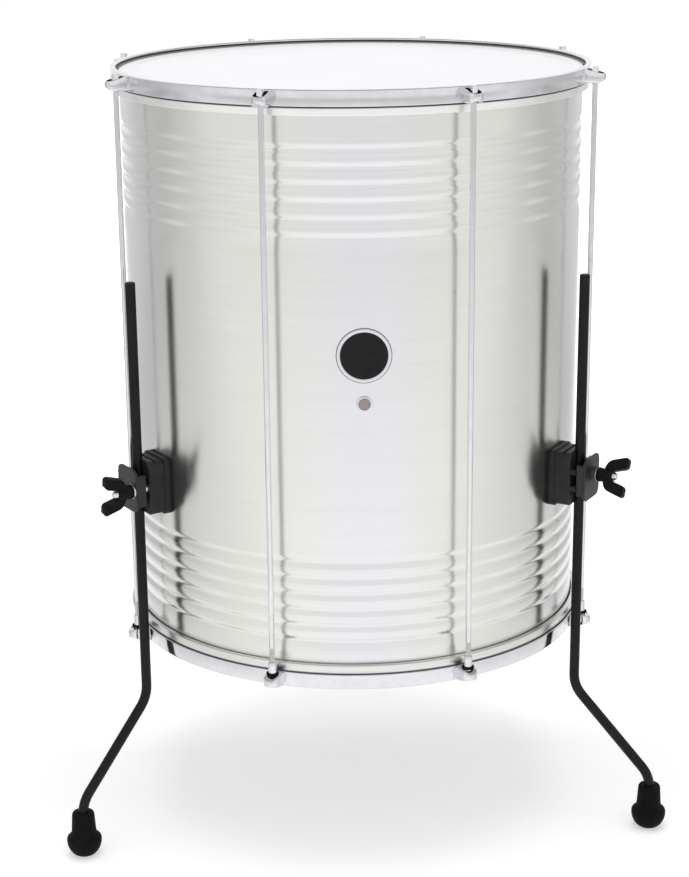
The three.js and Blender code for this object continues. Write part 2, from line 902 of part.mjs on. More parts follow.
const clampPlate = buildClampPlate();
const clampBolt = buildClampBolt();
const washer = buildWasher();
const leg = buildLeg();
const foot = buildFoot();
for (const [index, azimuth] of legAzimuths.entries()) {
  const number = index + 1;
  addPiece(`leg_gasket_${number}`, buildGasket(azimuth), "rubber");
  addPiece(`leg_bracket_${number}`, buildBracket(azimuth), "black");
  addPiece(`leg_backing_plate_${number}`, buildBackingPlate(azimuth), "steel");
  addPiece(`clamp_plate_${number}`, aroundDrum(clampPlate, azimuth), "black");
  addPiece(`clamp_bolt_${number}`, aroundDrum(clampBolt, azimuth), "chrome");
  addPiece(`clamp_washer_${number}`, aroundDrum(washer, azimuth), "chrome");
  addPiece(`wing_nut_${number}`, aroundDrum(buildWingNut(nutTurns[index]), azimuth), "black");
  addPiece(`leg_${number}`, atLeg(leg, index), "black");
  addPiece(`leg_foot_${number}`, atLeg(foot, index), "rubber");
}

// The three feet spread unevenly round the drum, so the whole is centred here
const centre = new THREE.Box3().setFromObject(part).getCenter(new THREE.Vector3());
for (const piece of part.children) {
  piece.geometry.translate(-centre.x, -centre.y, 0);
}

export default part;
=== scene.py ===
import math

import bmesh
import bpy
from mathutils import Matrix, Vector


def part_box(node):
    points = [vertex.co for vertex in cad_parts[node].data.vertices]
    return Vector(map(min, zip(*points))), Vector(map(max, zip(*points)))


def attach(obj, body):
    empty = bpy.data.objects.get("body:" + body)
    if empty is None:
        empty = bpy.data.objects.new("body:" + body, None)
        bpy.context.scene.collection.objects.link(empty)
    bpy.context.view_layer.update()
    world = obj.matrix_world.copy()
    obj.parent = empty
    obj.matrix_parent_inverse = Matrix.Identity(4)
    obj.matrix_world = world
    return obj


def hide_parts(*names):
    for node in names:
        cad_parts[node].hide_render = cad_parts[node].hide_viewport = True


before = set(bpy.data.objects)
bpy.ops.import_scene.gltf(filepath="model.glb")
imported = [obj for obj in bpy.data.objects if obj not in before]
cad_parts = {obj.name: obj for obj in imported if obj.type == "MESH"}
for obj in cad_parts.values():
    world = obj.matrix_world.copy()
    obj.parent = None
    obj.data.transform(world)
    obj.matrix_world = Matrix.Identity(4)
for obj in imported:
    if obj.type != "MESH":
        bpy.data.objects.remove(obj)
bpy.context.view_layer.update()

# Positions come from the frame in metres; the helpers work in millimetres
# round the drum's own axis, with outward pieces drawn towards -Y.
MM = 0.001


def node_box(node):
    low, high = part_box(node)
    return [v / MM for v in low], [v / MM for v in high]


SHELL_LOW, SHELL_HIGH = node_box("shell")
AXIS = ((SHELL_LOW[0] + SHELL_HIGH[0]) / 2, (SHELL_LOW[1] + SHELL_HIGH[1]) / 2)
SHELL_R = (SHELL_HIGH[0] - SHELL_LOW[0]) / 2
BASE, TOP = SHELL_LOW[2], SHELL_HIGH[2]
MIDDLE = (BASE + TOP) / 2
WALL = 1.2
GAP = 0.3
FILM_SKIRT = 0.5
FLESH_WIDTH = 4.9
HOOP_WALL = 2.0
HOOP_HEIGHT = 14.9
HOOP_TOP = node_box("top_hoop")[1][2]
HOOP_EDGE = HOOP_TOP - HOOP_HEIGHT
HOOP_R = SHELL_R + GAP + FILM_SKIRT + GAP + FLESH_WIDTH + 0.4 + HOOP_WALL
ROD_R = HOOP_R + 9.0
LEG_R = SHELL_R + 24.9
CLAMP_Z = sum(v[2] for v in node_box("leg_bracket_1")) / 2
DRUM_SIDES = 240
# Azimuths in degrees, counted from the front towards +X.
EARS = [(i + 0.5) * 45 + 1.1 for i in range(8)]
LEGS = [-59, 59, 180]
# How far each leg is turned in its clamp, and each wing nut on its bolt.
LEG_TURNS = [4, 16, 0]
NUT_TURNS = [10, 27, 18]


# ---- shapes: (vertices, faces) in millimetres ----
def turned(profile, sides, closed=False):
    """The (radius, height) profile turned round the axis; closed joins its ends."""
    verts, rows = [], []
    for r, z in profile:
        if r < 1e-6:
            rows.append([len(verts)] * sides)
            verts.append((0, 0, z))
        else:
            rows.append([len(verts) + i for i in range(sides)])
            for i in range(sides):
                a = 2 * math.pi * i / sides
                verts.append((r * math.sin(a), -r * math.cos(a), z))
    faces = []
    pairs = list(zip(rows, rows[1:]))
    if closed:
        pairs.append((rows[-1], rows[0]))
    for low, high in pairs:
        for i in range(sides):
            j = (i + 1) % sides
            face = []
            for v in (low[i], low[j], high[j], high[i]):
                if v not in face:
                    face.append(v)
            if len(face) > 2:
                faces.append(tuple(face))
    return verts, faces


def soften(points, radius, steps=3, closed=True):
    """The outline with each corner rounded off."""
    out = []
    n = len(points)
    for i, p in enumerate(points):
        if not closed and i in (0, n - 1):
            out.append(p)
            continue
        a, b = points[i - 1], points[(i + 1) % n]
        la = math.dist(a, p)
        lb = math.dist(b, p)
        t = min(radius, 0.45 * la, 0.45 * lb)
        s = [p[k] + (a[k] - p[k]) * t / la for k in (0, 1)]
        e = [p[k] + (b[k] - p[k]) * t / lb for k in (0, 1)]
        for q in range(steps + 1):
            u = q / steps
            weights = ((1 - u) ** 2, 2 * u * (1 - u), u * u)
            out.append(tuple(sum(w * v[k] for w, v in zip(weights, (s, p, e))) for k in (0, 1)))
    return out


def prism(outline, low, high):
    n = len(outline)
    verts = [(x, y, low) for x, y in outline] + [(x, y, high) for x, y in outline]
    faces = [tuple(range(n))[::-1], tuple(range(n, 2 * n))]
    faces += [(i, (i + 1) % n, n + (i + 1) % n, n + i) for i in range(n)]
    return verts, faces


def swept(path, radius, sides, cap):
    """A round rod through points, its first end rounded off by cap."""
    path = [Vector(p) for p in path]
    last = len(path) - 1
    ways = []
    for i, p in enumerate(path):
        ahead = (path[i + 1] - p).normalized() if i < last else Vector()
        back = (p - path[i - 1]).normalized() if i else Vector()
        ways.append((ahead + back).normalized())
    start, way = path[0], ways[0]
    rows = [
        (start, way, radius - cap),
        (start + way * cap * 0.3, way, radius - cap * 0.3),
        (start + way * cap, way, radius),
    ]
    rows += [(p, t, radius) for p, t in zip(path[1:], ways[1:])]
    verts, faces, rings = [], [], []
    side = Vector((1, 0, 0))
    for p, t, r in rows:
        side = (side - t * side.dot(t)).normalized()
        up = t.cross(side)
        rings.append(len(verts))
        for k in range(sides):
            a = 2 * math.pi * k / sides
            verts.append(tuple(p + side * (r * math.cos(a)) + up * (r * math.sin(a))))
    for a, b in zip(rings, rings[1:]):
        for k in range(sides):
            j = (k + 1) % sides
            faces.append((a + k, a + j, b + j, b + k))
    faces.append(tuple(range(rings[0], rings[0] + sides))[::-1])
    faces.append(tuple(range(rings[-1], rings[-1] + sides)))
    return verts, faces


def changed(shape, matrix):
    return [tuple(matrix @ Vector(v)) for v in shape[0]], shape[1]


def moved(shape, x=0, y=0, z=0):
    return changed(shape, Matrix.Translation((x, y, z)))


def spun(shape, degrees, axis="Z"):
    return changed(shape, Matrix.Rotation(math.radians(degrees), 4, axis))


def outward(shape):
    """Lays a shape drawn along +Z down, so that it points away from the drum."""
    return spun(shape, 90, "X")


def flipped(shape):
    """The same shape at the other head."""
    return [(x, y, 2 * MIDDLE - z) for x, y, z in shape[0]], shape[1]


def joined(*shapes):
    verts, faces = [], []
    for v, f in shapes:
        base = len(verts)
        verts += v
        faces += [tuple(i + base for i in face) for face in f]
    return verts, faces


def piece(name, shape, body, nodes, slot, material, azimuth=0.0, bevel=0.0, angle=32, inlay=None):
    """Adds one piece on its body; inlay is a second material and the faces that take it."""
    verts, faces = spun(shape, azimuth)
    verts = [((x + AXIS[0]) * MM, (y + AXIS[1]) * MM, z * MM) for x, y, z in verts]
    mesh = bpy.data.meshes.new(name)
    mesh.from_pydata(verts, [], faces)
    mesh.validate()
    work = bmesh.new()
    work.from_mesh(mesh)
    bmesh.ops.recalc_face_normals(work, faces=work.faces)
    work.to_mesh(mesh)
    work.free()
    mesh.polygons.foreach_set("use_smooth", [True] * len(mesh.polygons))
    mesh.set_sharp_from_angle(angle=math.radians(angle))
    mesh.materials.append(material)
    if inlay:
        mesh.materials.append(inlay[0])
        for index in inlay[1]:
            mesh.polygons[index].material_index = 1
    obj = bpy.data.objects.new(name, mesh)
    bpy.context.scene.collection.objects.link(obj)
    if bevel:
        mod = obj.modifiers.new("edges", "BEVEL")
        mod.width = bevel * MM
        mod.segments = 3
        mod.limit_method = "ANGLE"
        mod.angle_limit = math.radians(35)
        mod.harden_normals = True
    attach(obj, body)
    if nodes:
        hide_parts(*nodes)
    return obj


# ---- materials ----
class Surface:
    """A principled material whose detail follows the object's own coordinates, in metres."""

    def __init__(self, name, color, metallic, roughness, **sockets):
        self.mat = bpy.data.materials.new(name)
        self.mat.use_nodes = True
        self.tree = self.mat.node_tree
        self.shader = self.tree.nodes["Principled BSDF"]
        self.shader.inputs["Base Color"].default_value = (*color, 1)
        self.shader.inputs["Metallic"].default_value = metallic
        self.shader.inputs["Roughness"].default_value = roughness
        for key, value in sockets.items():
            self.shader.inputs[key.replace("_", " ")].default_value = value
        self.coord = self.tree.nodes.new("ShaderNodeTexCoord").outputs["Object"]
        self.last_bump = None

    def node(self, kind, **values):
        node = self.tree.nodes.new(kind)
        for key, value in values.items():
            if key.startswith("in_"):
                node.inputs[key[3:]].default_value = value
            else:
                setattr(node, key, value)
        return node

    def link(self, a, b):
        self.tree.links.new(a, b)

    def noise(self, scale, detail):
        mapping = self.node("ShaderNodeMapping")
        mapping.inputs["Scale"].default_value = scale
        self.link(self.coord, mapping.inputs["Vector"])
        noise = self.node("ShaderNodeTexNoise", in_Scale=1.0, in_Detail=detail, in_Roughness=0.55)
        self.link(mapping.outputs["Vector"], noise.inputs["Vector"])
        return noise.outputs["Fac"]

    def span(self, value, low, high, start=0.3, end=0.7):
        """low to high while the value goes from start to end."""
        node = self.node("ShaderNodeMapRange")
        node.inputs["From Min"].default_value = start
        node.inputs["From Max"].default_value = end
        node.inputs["To Min"].default_value = low
        node.inputs["To Max"].default_value = high
        self.link(value, node.inputs["Value"])
        return node.outputs["Result"]

    def blend(self, value, one, two):
        node = self.node("ShaderNodeMix", data_type="RGBA")
        for name, color in (("A", one), ("B", two)):
            socket = [s for s in node.inputs if s.name == name and s.type == "RGBA"][0]
            if hasattr(color, "is_linked"):
                self.link(color, socket)
            else:
                socket.default_value = (*color, 1)
        factor = [s for s in node.inputs if s.name == "Factor" and s.type == "VALUE"][0]
        self.link(value, factor)
        return [s for s in node.outputs if s.type == "RGBA"][0]

    def math(self, operation, *values):
        node = self.node("ShaderNodeMath", operation=operation)
        for socket, value in zip(node.inputs, values):
            if hasattr(value, "is_linked"):
                self.link(value, socket)
            else:
                socket.default_value = value
        return node.outputs[0]

    def level(self, start, end):
        """0 to 1 between two heights, and between their mirror images at the lower head."""
        split = self.node("ShaderNodeSeparateXYZ")
        self.link(self.coord, split.inputs["Vector"])
        away = self.math("ABSOLUTE", self.math("SUBTRACT", split.outputs["Z"], MIDDLE * MM))
        return self.span(away, 0, 1, (start - MIDDLE) * MM, (end - MIDDLE) * MM)

    def painted_reflection_lobes(self, count):
        """Painted reflection zones round the drum's axis, from 0 to 1, highest at the front."""
        split = self.node("ShaderNodeSeparateXYZ")
        self.link(self.coord, split.inputs["Vector"])
        across = self.math("SUBTRACT", split.outputs["X"], AXIS[0] * MM)
        back = self.math("SUBTRACT", AXIS[1] * MM, split.outputs["Y"])
        angle = self.math("ARCTAN2", across, back)
        wave = self.math("COSINE", self.math("MULTIPLY", angle, count))
        return self.span(wave, 0, 1, 0.1, 1)

    def bump(self, value, strength, distance):
        node = self.node("ShaderNodeBump", in_Strength=strength, in_Distance=distance)
        self.link(value, node.inputs["Height"])
        if self.last_bump:
            self.link(self.last_bump, node.inputs["Normal"])
        self.last_bump = node.outputs["Normal"]
        self.link(self.last_bump, self.shader.inputs["Normal"])

    def edge(self, radius):
        """Rounds the look of sharp edges."""
        node = self.node("ShaderNodeBevel", samples=6)
        node.inputs["Radius"].default_value = radius
        self.last_bump = node.outputs["Normal"]
        self.link(self.last_bump, self.shader.inputs["Normal"])

    def rough(self, value):
        self.link(value, self.shader.inputs["Roughness"])

    def color(self, value):
        self.link(value, self.shader.inputs["Base Color"])


def shell_surface():
    """Aluminium brushed round the drum, with painted reflection tints that change round it and
    random tones that change along its height.
    """
    s = Surface(
        "brushed_aluminium",
        (0.78, 0.78, 0.76),
        1.0,
        0.25,
        Anisotropic=0.75,
        Anisotropic_Rotation=0.25,
    )
    brush = s.noise((6, 6, 900), 3)
    fine = s.noise((25, 25, 4000), 2)
    streak = s.noise((5, 5, 130), 3)
    s.rough(s.span(brush, 0.235, 0.265))
    s.bump(fine, 0.04, 0.0001)
    s.bump(brush, 0.012, 0.0001)
    # Painted reflection tints: lavender at the front and at every fifth of the turn, warm green
    # between.
    base = s.blend(s.painted_reflection_lobes(5), (0.79, 0.80, 0.75), (0.80, 0.785, 0.845))
    cloud = s.blend(s.span(s.noise((7, 7, 2), 3), 0, 0.3), base, (0.715, 0.72, 0.705))
    band = s.blend(s.span(streak, 0.0, 0.35, 0.35, 0.65), cloud, (0.735, 0.745, 0.70))
    s.color(s.blend(s.span(brush, 0.0, 0.08), band, (0.70, 0.70, 0.68)))
    tangent = s.node("ShaderNodeTangent", direction_type="RADIAL", axis="Z")
    s.link(tangent.outputs["Tangent"], s.shader.inputs["Tangent"])
    return s.mat


def chrome_surface():
    s = Surface("chrome_plate", (0.74, 0.74, 0.765), 1.0, 0.1)
    haze = s.noise((90, 90, 90), 3)
    s.rough(s.span(haze, 0.06, 0.15))
    s.color(s.blend(s.span(haze, 0, 1), (0.75, 0.75, 0.775), (0.69, 0.69, 0.715)))
    s.bump(s.noise((300, 300, 300), 2), 0.02, 0.0002)
    return s.mat


def thread_surface():
    s = Surface("threaded_steel", (0.7, 0.7, 0.72), 1.0, 0.25)
    haze = s.noise((200, 200, 900), 3)
    s.rough(s.span(haze, 0.18, 0.36))
    s.color(s.blend(s.span(haze, 0, 1), (0.84, 0.84, 0.86), (0.70, 0.70, 0.72)))
    return s.mat


def film_surface():
    coat = {"Coat_Weight": 0.15, "Coat_Roughness": 0.12}
    s = Surface("white_film", (0.84, 0.835, 0.865), 0.0, 0.42, **coat)
    grain = s.noise((700, 700, 700), 3)
    cloud = s.noise((9, 9, 9), 3)
    s.rough(s.span(grain, 0.34, 0.5))
    s.color(s.blend(s.span(cloud, 0, 1), (0.85, 0.845, 0.875), (0.82, 0.815, 0.85)))
    s.bump(grain, 0.08, 0.0002)
    return s.mat


def band_surface(name, painted_shadow, start, one, two):
    """A flesh hoop's metal with a painted shadow line, from start millimetres past the counter
    hoop's edge.
    """
    s = Surface(name, (0.70, 0.70, 0.70), 1.0, 0.3)
    line = s.noise((12, 12, 1400), 3)
    s.rough(s.span(line, 0.22, 0.4))
    metal = s.blend(s.span(line, 0, 1), one, two)
    # Painted shadow under the counter hoop's edge.
    shadow = s.level(HOOP_EDGE - start, HOOP_EDGE - start + 1.0)
    s.color(s.blend(shadow, metal, (painted_shadow, painted_shadow, painted_shadow)))
    s.bump(line, 0.05, 0.0002)
    return s.mat


def black_surface(name, level, low, high, grain, edge, shine, tint=(1, 1, 1.06)):
    dark = tuple(level * v for v in tint)
    s = Surface(name, dark, 0.0, (low + high) / 2, Specular_IOR_Level=shine)
    if edge:
        s.edge(edge)
    peel = s.noise((grain, grain, grain), 3)
    wear = s.noise((60, 60, 60), 4)
    s.rough(s.span(peel, low, high))
    lighter = tuple(min(1, v * 1.7 + 0.002) for v in dark)
    s.color(s.blend(s.span(wear, 0, 1, 0.4, 0.75), dark, lighter))
    s.bump(peel, 0.16, 0.0003)
    return s.mat


def lip_surface():
    """The dark inside of the hoops' lips, with a paler band at their lower edge that is a painted
    reflection of the head.
    """
    s = Surface("dark_lip", (0.05, 0.042, 0.04), 0.0, 0.6, Specular_IOR_Level=0.15)
    grain = s.noise((400, 400, 400), 3)
    s.rough(s.span(grain, 0.5, 0.7))
    dark = s.blend(s.span(grain, 0, 1), (0.06, 0.048, 0.044), (0.042, 0.036, 0.035))
    # Painted reflection of the head on the lip's lower part.
    s.color(s.blend(s.level(HOOP_TOP - 3.2, HOOP_TOP - 4.6), dark, (0.5, 0.45, 0.44)))
    return s.mat


def badge_face_surface():
    s = Surface("badge_enamel", (0.006, 0.006, 0.007), 0.0, 0.4, Specular_IOR_Level=0.2)
    cloud = s.noise((120, 120, 120), 3)
    s.rough(s.span(cloud, 0.3, 0.45))
    s.color(s.blend(s.span(cloud, 0, 1), (0.006, 0.006, 0.007), (0.011, 0.011, 0.012)))
    return s.mat


def painted_shade_surface(name, one, two, metallic):
    """Painted shade: dark faces inside the ear cups, in the gaps round the badge and in the vent's
    hole.
    """
    s = Surface(name, one, metallic, 0.5, Specular_IOR_Level=0.2)
    cloud = s.noise((260, 260, 260), 3)
    s.rough(s.span(cloud, 0.4, 0.6))
    s.color(s.blend(s.span(cloud, 0, 1), one, two))
    return s.mat


def satin_surface():
    s = Surface("badge_satin", (0.74, 0.73, 0.78), 1.0, 0.32)
    grain = s.noise((500, 500, 500), 3)
    s.rough(s.span(grain, 0.27, 0.37))
    s.color(s.blend(s.span(grain, 0, 1), (0.76, 0.75, 0.80), (0.70, 0.69, 0.74)))
    return s.mat


def steel_surface():
    s = Surface("zinc_steel", (0.5, 0.51, 0.53), 1.0, 0.38)
    cloud = s.noise((150, 150, 150), 4)
    s.rough(s.span(cloud, 0.3, 0.5))
    s.color(s.blend(s.span(cloud, 0, 1), (0.54, 0.55, 0.57), (0.42, 0.43, 0.44)))
    s.bump(cloud, 0.05, 0.0003)
    return s.mat


SHELL = shell_surface()
CHROME = chrome_surface()
THREAD = thread_surface()
FILM = film_surface()
# One flesh-hoop metal in lit and shaded copies: the upper band's paler tones are painted light,
# and its painted shadow line is darker and wider than the lower one's.
LIT_BAND_TONES = ((0.96, 0.955, 0.935), (0.88, 0.88, 0.865))
SHADED_BAND_TONES = ((0.80, 0.80, 0.78), (0.70, 0.70, 0.69))
BAND = band_surface("flesh_hoop_aluminium", 0.05, 2.2, *LIT_BAND_TONES)
LOWER_BAND = band_surface("lower_flesh_hoop_aluminium", 0.22, 1.7, *SHADED_BAND_TONES)
ENAMEL = badge_face_surface()
STEEL = steel_surface()
SATIN = satin_surface()
# Painted shadow for the gaps round the badge's rim.
GAP_SHADOW = painted_shade_surface("badge_painted_shadow", (0.17, 0.165, 0.18), (0.23, 0.22, 0.24), 0.0)
# Painted shade: the brown of the drum's shaded inside, seen through the vent.
VENT_SHADE = painted_shade_surface("vent_hole_shade", (0.50, 0.43, 0.37), (0.42, 0.36, 0.31), 0.0)
# Inside the ear cups: duller plating, darkened further as painted shade.
CUP_SHADE = painted_shade_surface("ear_cup_painted_shade", (0.075, 0.075, 0.085), (0.05, 0.05, 0.06), 1.0)
LAVENDER = (1.0, 0.95, 1.08)
POWDER = black_surface("black_powder_coat", 0.006, 0.34, 0.5, 900, 0, 0.2, LAVENDER)
CAST = black_surface("black_casting", 0.016, 0.36, 0.52, 700, 0.0008, 0.25, LAVENDER)
PLATE = black_surface("black_plate", 0.019, 0.32, 0.46, 800, 0.0008, 0.35, LAVENDER)
NUT_BLACK = black_surface("black_nut_plastic", 0.004, 0.45, 0.6, 900, 0, 0.12, LAVENDER)
RUBBER = black_surface("black_rubber", 0.005, 0.6, 0.8, 1200, 0, 0.09)
GASKET = black_surface("gasket_rubber", 0.007, 0.6, 0.8, 1200, 0.0006, 0.2, LAVENDER)
LIP_DARK = lip_surface()

# Nodes of the frame that are shown as they are, with these materials.
FINISH = {
    "leg_gasket": GASKET,
    "leg_bracket": CAST,
    "leg_backing_plate": STEEL,
}
for name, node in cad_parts.items():
    for start, material in FINISH.items():
        if name.startswith(start):
            node.data.materials.clear()
            node.data.materials.append(material)


# ---- shell ----
GROOVE_PITCH = 16
GROOVE_DEPTH = 1.5
GROOVES = [BASE + 39.5 + GROOVE_PITCH * i for i in range(6)]
GROOVES += [TOP - 48.5 - GROOVE_PITCH * i for i in range(6)]
LIP = 5


def wave(z):
    """How far the rolled wall lies inside the plain surface at one height."""
    half = GROOVE_PITCH / 2
    away = min(abs(z - g) for g in GROOVES)
    rib = 0.5 * (1 + math.cos(math.pi * min(away / half, 1)))
    return GROOVE_DEPTH * rib ** 1.9


outer = []
z = BASE + 1.0
while z < TOP - 1.0:
    near = min(abs(z - g) for g in GROOVES) < 9
    outer.append((SHELL_R - wave(z), z))
    z += 0.8 if near else 12.0
outer.append((SHELL_R, TOP - 1.0))
turned_in = [(0.3, 0.3), (1, 0), (LIP, 0), (LIP, WALL), (WALL, WALL)]
top_lip = [(SHELL_R - inside, TOP - below) for inside, below in turned_in]
base_lip = [(SHELL_R - inside, BASE + above) for inside, above in turned_in[::-1]]
inner = [(r - WALL, z) for r, z in outer[::-1] if BASE + WALL < z < TOP - WALL]
skin = turned(outer + top_lip + inner + base_lip, DRUM_SIDES, True)
piece("shell_skin", skin, "drum", ["shell"], "shell_metal", SHELL, angle=50)

# ---- badge and vent ----
BADGE_Z = sum(v[2] for v in node_box("badge")) / 2
VENT_Z = sum(v[2] for v in node_box("vent_eyelet")) / 2


def curved_to_shell(shape, height):
    """Bends a flat outward shape round the shell: its depth becomes distance from the wall."""
    verts = []
    for x, y, z in shape[0]:
        r = SHELL_R + y
        verts.append((x, -math.sqrt(r * r - x * x), z + height))
    return verts, shape[1]


def disc(profile, sides, height):
    """A disc of (radius, depth) rows that lies on the shell."""
    verts, faces = turned(profile, sides)
    return curved_to_shell(([(x, z, y) for x, y, z in verts], faces), height)


# The badge's base shows only in the gaps round its rim, as painted shadow lines.
base = [(0, 0.3), (21.8, 0.85), (22.5, 0.85), (22.6, 0.5)]
base += [(25.1, 0.5), (25.2, 0.85), (25.9, 0.7), (26.0, 0.3)]
piece("badge_base", disc(base, 96, BADGE_Z), "drum", ["badge"], "badge_metal", GAP_SHADOW)
rim = [(22.4, 0.6), (22.4, 1.0), (22.7, 1.12), (24.8, 1.12), (25.2, 1.0), (25.2, 0.6)]
piece("badge_rim", disc(rim, 96, BADGE_Z), "drum", [], "badge_metal", SATIN)
face = [(r, 1.0) for r in (0, 4, 8, 12, 16, 20)] + [(21.7, 0.98), (21.9, 0.9)]
piece("badge_face", disc(face, 96, BADGE_Z), "drum", [], "badge_metal", ENAMEL)
eyelet = soften([(5.7, 0.3), (5.7, 1.3), (6.2, 1.5), (7.4, 0.9), (7.5, 0.35)], 0.3, 3, False)
eyelet = moved(outward(turned(eyelet, 48, True)), 0, -SHELL_R, VENT_Z)
piece("vent_ring", eyelet, "drum", ["vent_eyelet"], "chrome", SATIN)
# A disc with painted shade stands in for the vent's hole.
opening = [(0, 0.32), (3, 0.32), (5.9, 0.32)]
piece("vent_hole_shade_disc", disc(opening, 48, VENT_Z), "drum", [], "chrome", VENT_SHADE)

# ---- heads ----
edge = SHELL_R + GAP
film = [(edge * k / 12, TOP + 0.8) for k in range(12)]
film += [(edge - 11, TOP + 0.8), (edge - 9.8, TOP + 0.5), (edge - 8.6, TOP + 0.8)]
film += [(edge - 1.0, TOP + 0.8), (edge, TOP + 0.6), (edge + 0.45, TOP - 0.2)]
film += [(edge + FILM_SKIRT, TOP - 9), (edge, TOP - 9), (edge, TOP + 0.2), (0, TOP + 0.3)]
film = turned(film, DRUM_SIDES)
piece("batter_film", film, "drum", ["top_head_film"], "head_film", FILM)
piece("lower_film", flipped(film), "drum", ["bottom_head_film"], "head_film", FILM)
flesh_in, flesh_out = SHELL_R + 1.1, SHELL_R + 6.0
flesh_top = HOOP_TOP - 7.3
flesh_low = flesh_top - 16.2
flesh = [(flesh_in, flesh_low), (flesh_out, flesh_low)]
flesh += [(flesh_out, flesh_top), (flesh_in, flesh_top)]
flesh = turned(soften(flesh, 1.0), DRUM_SIDES, True)
piece("batter_flesh_hoop", flesh, "drum", ["top_flesh_hoop"], "flesh_band", BAND)
piece("lower_flesh_hoop", flipped(flesh), "drum", ["bottom_flesh_hoop"], "flesh_band", LOWER_BAND)

# ---- counter hoops with their welded ears ----
hoop_in = HOOP_R - HOOP_WALL
rim_in = HOOP_R - 5.9
hoop_profile = soften(
    [
        (hoop_in, HOOP_EDGE),
        (HOOP_R, HOOP_EDGE),
        (HOOP_R, HOOP_TOP),
        (rim_in, HOOP_TOP),
        (rim_in, HOOP_TOP - 7),
        (rim_in + 1.8, HOOP_TOP - 7),
        (rim_in + 1.8, HOOP_TOP - HOOP_WALL),
        (hoop_in, HOOP_TOP - HOOP_WALL),
    ],
    1.7,
    4,
)
hoop_ring = turned(hoop_profile, DRUM_SIDES, True)

EAR_REACH = 19.5
EAR_HALF = 7.5
EAR_WALL = 1.8
EAR_BEND = 13.9
TIP_STEPS = 14
# (narrower at the sides, shorter at the tip, share of the height) for each row of points.
EAR_OUTSIDE = [(1.3, 2.4, 0), (0.6, 1.2, 0.04), (0.2, 0.5, 0.12), (0, 0.1, 0.28)]
EAR_OUTSIDE += [(0, 0, 0.6), (0, 0, 0.96), (0.3, 0.3, 1.0)]
EAR_INSIDE = [(-0.35, -0.35, 1.0), (0, 0, 0.95), (0, 0.1, 0.6)]
EAR_INSIDE += [(0.1, 0.4, 0.25), (0.5, 1.0, 0.04), (0.9, 1.6, 0.0)]


def ear_outline(half, root, tip):
    """The ear from above, straight from its root to a round tip of radius half."""
    centre = tip - half
    straight = [root + (centre - root) * share for share in (0, 0.35, 0.7)]
    points = [(half, out) for out in straight]
    for i in range(TIP_STEPS + 1):
        a = math.pi * i / TIP_STEPS
        points.append((half * math.cos(a), centre + half * math.sin(a)))
    return points + [(-half, out) for out in straight[::-1]]


def ear_rim(out):
    return HOOP_EDGE + 14.2 - 4.8 * max(out, 0) / EAR_REACH


def ear_rows(inset, floor, levels, root):
    rows = []
    for side_in, tip_in, lift in levels:
        row = []
        outline = ear_outline(EAR_HALF - inset - side_in, root, EAR_REACH - inset - tip_in)
        for x, out in outline:
            low = floor + 3.7 * max(out - EAR_BEND, 0) / (EAR_REACH - EAR_BEND)
            row.append((x, -(HOOP_R + out), low + (ear_rim(out) - low) * lift))
        rows.append(row)
    return rows


def ear_shape():
    """A formed cup with its weld flange, and the numbers of the cup's inner faces."""
    outside = ear_rows(0, HOOP_EDGE + 0.5, EAR_OUTSIDE, -0.6)
    inside = ear_rows(EAR_WALL, HOOP_EDGE + 0.5 + EAR_WALL, EAR_INSIDE, 1.3)
    rows = outside + inside
    n = len(rows[0])
    verts = [v for row in rows for v in row]
    faces = [tuple(range(n))]
    for k in range(len(rows) - 1):
        for i in range(n):
            j = (i + 1) % n
            faces.append((k * n + i, k * n + j, (k + 1) * n + j, (k + 1) * n + i))
    faces.append(tuple(range((len(rows) - 1) * n, len(rows) * n)))
    cup = range(1 + (len(outside) + 1) * n, len(faces))
    low, high = HOOP_EDGE + 0.8, HOOP_EDGE + 13.6
    weld = soften([(-9, low), (9, low), (10.8, high), (-10.8, high)], 1.8)
    flange = prism(weld, HOOP_R - 0.6, HOOP_R + 0.9)
    return joined((verts, faces), outward(flange)), cup


ear, cup = ear_shape()
hoop_shape = joined(hoop_ring, *[spun(ear, a) for a in EARS])
cups = [len(hoop_ring[1]) + i * len(ear[1]) + k for i in range(len(EARS)) for k in cup]
# The cups' inner faces take the painted shade.
cup_shade_inlay = {"angle": 40, "inlay": (CUP_SHADE, cups)}
piece("batter_hoop", hoop_shape, "top_hoop", ["top_hoop"], "chrome", CHROME, **cup_shade_inlay)
piece("lower_hoop", flipped(hoop_shape), "drum", ["bottom_hoop"], "chrome", CHROME, **cup_shade_inlay)
lip_face = [(-0.06, 6.6), (0.4, 6.6), (0.4, 1.5), (-0.06, 1.7)]
lip_face = turned([(rim_in + out, HOOP_TOP - below) for out, below in lip_face], DRUM_SIDES, True)
piece("batter_hoop_lip", lip_face, "top_hoop", [], "chrome", LIP_DARK)
piece("lower_hoop_lip", flipped(lip_face), "drum", [], "chrome", LIP_DARK)

# ---- tension rods, tube nuts and rings ----
ROD_LOW = node_box("tension_rod_1")[0][2]
NUT_LOW, NUT_HIGH = (corner[2] for corner in node_box("tube_nut_1"))
RING_LOW, RING_HIGH = (corner[2] for corner in node_box("nut_ring_1"))
thread_top = NUT_HIGH + 15


